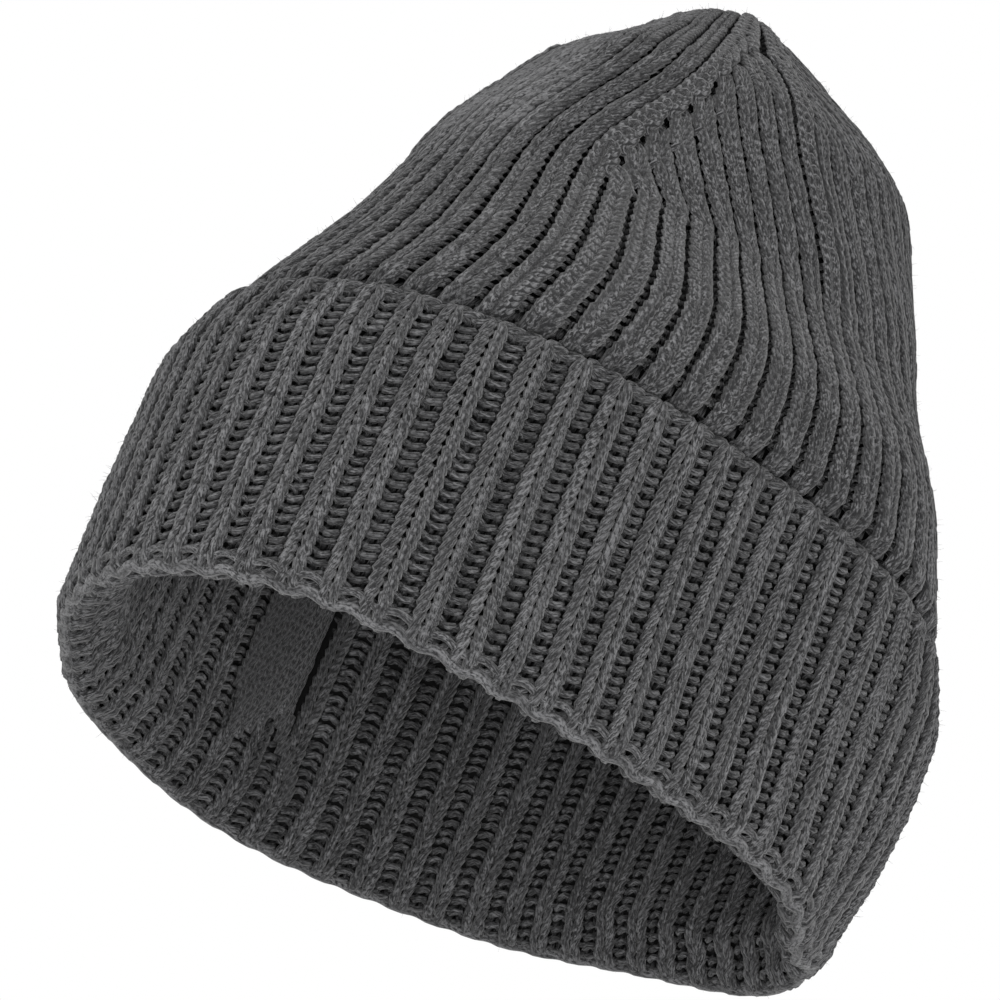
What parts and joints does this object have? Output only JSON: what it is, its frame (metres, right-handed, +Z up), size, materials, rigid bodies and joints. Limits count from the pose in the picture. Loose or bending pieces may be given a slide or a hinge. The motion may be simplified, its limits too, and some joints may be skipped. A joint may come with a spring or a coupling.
{
  "type": "knit beanie",
  "caption": "Chunky ribbed marl-grey knit hat with a deep turned-up cuff that slides down to unroll, fashioned crown with raised decrease wales, and an open head cavity.",
  "frame": {"origin": "under the middle of the cuff, in the plane that the rim's fold stands on", "axes": "+Z up the hat from rim to crown; -Y to the wearer's front; -X to the wearer's right; the seam is at +Y"},
  "size_m": [0.2156, 0.1905, 0.2163],
  "materials": {
    "marl_knit": "two-ply marl yarn, fuzzy",
    "raised_wale": "two-ply marl yarn, fuzzy",
    "cuff_knit": "two-ply marl yarn, fuzzy",
    "cast_on": "two-ply marl yarn, soft bead",
    "selvedge_knit": "two-ply marl yarn, curled edge",
    "sewing_yarn": "single sewing yarn"
  },
  "bodies": {
    "hat_body": {"side_wall": "marl_knit", "gore_front": "marl_knit", "gore_front_left": "marl_knit", "gore_back_left": "marl_knit", "gore_back": "marl_knit", "gore_back_right": "marl_knit", "gore_front_right": "marl_knit", "wale_front_right": "raised_wale", "wale_front_left": "raised_wale", "wale_left": "raised_wale", "wale_back_left": "raised_wale", "wale_back_right": "raised_wale", "wale_right": "raised_wale", "selvedge_left": "selvedge_knit", "selvedge_right": "selvedge_knit", "seam_thread": "sewing_yarn", "gather_thread": "sewing_yarn"},
    "cuff_fold": {"rim_fold": "cuff_knit", "cuff_band": "cuff_knit"},
    "cuff_edge": {"cast_on_edge": "cast_on"}
  },
  "joints": [
    {"name": "cuff_turn_down", "type": "slide", "parent": "hat_body", "child": "cuff_fold", "axis": [0, 0, -1], "range_m": [0, 0.036]},
    {"name": "cuff_edge_draw", "type": "slide", "parent": "cuff_fold", "child": "cuff_edge", "axis": [0, 0, -1], "range_m": [0, 0.036], "deforming": ["cuff_band"]}
  ],
  "couplings": [
    {"joint": "cuff_edge_draw", "follows": "cuff_turn_down", "ratio": 1}
  ]
}
